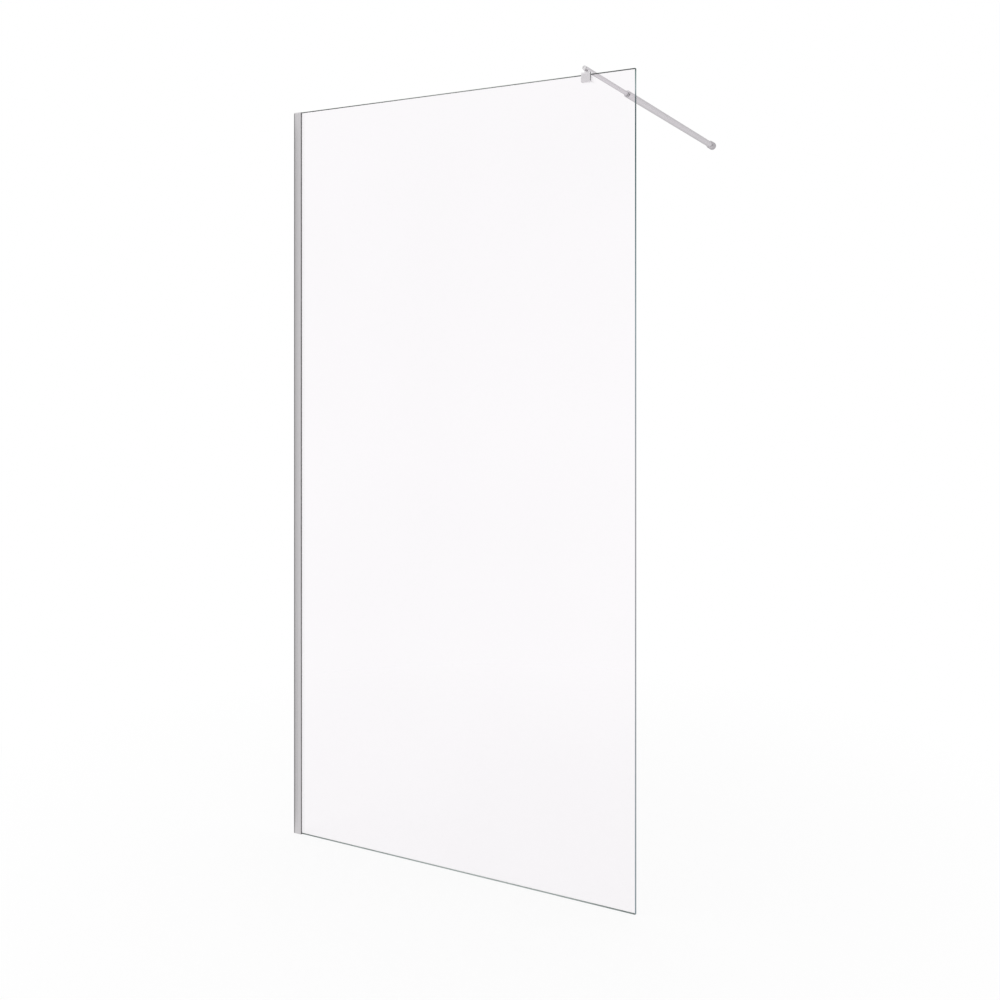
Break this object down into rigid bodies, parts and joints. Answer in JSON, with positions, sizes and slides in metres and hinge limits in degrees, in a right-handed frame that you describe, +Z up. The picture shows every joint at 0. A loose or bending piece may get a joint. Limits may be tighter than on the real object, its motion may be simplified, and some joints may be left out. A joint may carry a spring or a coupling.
{
  "type": "walk-in shower screen",
  "caption": "Walk-in shower screen: a clear toughened pane in a slim wall channel, steadied by a telescopic bar that clips over the top edge and screws to the wall.",
  "frame": {"origin": "on the wall face behind the channel, at floor level, in the middle plane of the pane", "axes": "+X along the pane from the wall to the free edge, +Y behind the pane along the bar, +Z up"},
  "size_m": [1.004, 1.052, 2.0233],
  "materials": {
    "satin_aluminium": "extruded and satin anodised",
    "plated_cap": "satin plated moulded plastic",
    "dark_gasket": "extruded soft PVC",
    "clear_glass": "clear toughened float glass with polished edges",
    "satin_steel": "satin brushed stainless steel",
    "screw_steel": "plain stainless screw",
    "clear_liner": "translucent soft PVC",
    "turned_aluminium": "turned, bare",
    "black_acetal": "moulded acetal",
    "grey_acetal": "moulded acetal",
    "black_rubber": "moulded nitrile"
  },
  "bodies": {
    "wall_profile": {"wall_channel": "satin_aluminium", "channel_top_cap": "plated_cap", "front_gasket": "dark_gasket", "rear_gasket": "dark_gasket"},
    "pane": {"glass_panel": "clear_glass"},
    "clip_and_rod": {"clip_body": "satin_steel", "clip_liner": "clear_liner", "clip_pressure_plate": "satin_steel", "clip_grub_screws": "screw_steel", "saddle_screw": "screw_steel", "rod_plug": "turned_aluminium", "inner_rod": "satin_steel", "rod_end_cap": "plated_cap", "rod_guide_bush": "black_acetal"},
    "bar_tube": {"outer_tube": "satin_steel", "mouth_collar": "satin_steel", "mouth_bush": "grey_acetal", "tube_lock_screw": "screw_steel", "wall_base": "turned_aluminium", "base_grub_screw": "screw_steel"},
    "rosette": {"wall_rosette": "satin_steel", "rosette_grip_ring": "black_rubber"}
  },
  "joints": [
    {"name": "pane_adjust", "type": "slide", "parent": "wall_profile", "child": "pane", "axis": [1, 0, 0], "range_m": [-0.004, 0.005]},
    {"name": "clip_slide", "type": "slide", "parent": "pane", "child": "clip_and_rod", "axis": [1, 0, 0], "range_m": [-0.83, 0.105]},
    {"name": "bar_telescope", "type": "slide", "parent": "clip_and_rod", "child": "bar_tube", "axis": [0, 1, 0], "range_m": [-0.22, 0.18]},
    {"name": "rosette_slide", "type": "slide", "parent": "bar_tube", "child": "rosette", "axis": [0, -1, 0], "range_m": [0, 0.04]}
  ]
}
